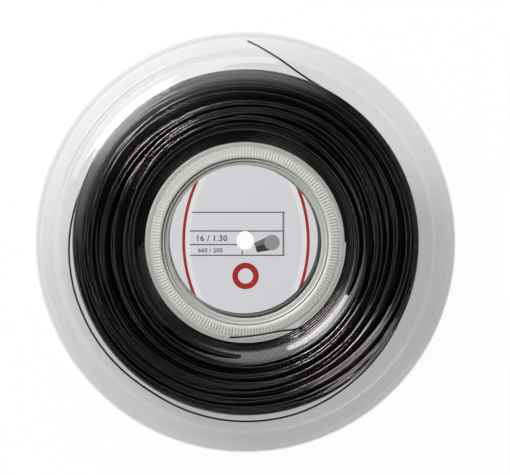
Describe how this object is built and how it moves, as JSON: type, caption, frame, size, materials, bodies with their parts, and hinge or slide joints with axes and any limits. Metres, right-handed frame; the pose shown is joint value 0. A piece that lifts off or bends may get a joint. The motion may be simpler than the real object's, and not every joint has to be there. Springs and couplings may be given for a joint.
{
  "type": "string reel",
  "caption": "Clear plastic reel wound full of black racket string, with a ribbed hub, a spindle bore, a round label on each side and a loose outer end.",
  "frame": {"origin": "on the reel's axis, in the plane of the rear flange's crown, which the reel lies on", "axes": "+Z along the reel's axis, out of the front face; +Y is up and +X is right in the picture, which looks straight down on the front"},
  "size_m": [0.266, 0.266, 0.024],
  "materials": {
    "clear_plastic": "clear polystyrene, glossy, slightly hazed",
    "hub_plastic": "natural translucent moulded plastic",
    "label_paper": "pale satin label stock with red and grey print",
    "black_string": "glossy polyester monofilament, black with a warm tint"
  },
  "bodies": {
    "root": {"front_flange": "clear_plastic", "rear_flange": "clear_plastic", "front_hub_half": "hub_plastic", "rear_hub_half": "hub_plastic", "front_label": "label_paper", "rear_label": "label_paper", "string_core": "black_string", "string_front_turns": "black_string", "string_rear_turns": "black_string", "string_outer_layer": "black_string", "string_free_end": "black_string", "string_inner_tail": "black_string"}
  },
  "joints": []
}
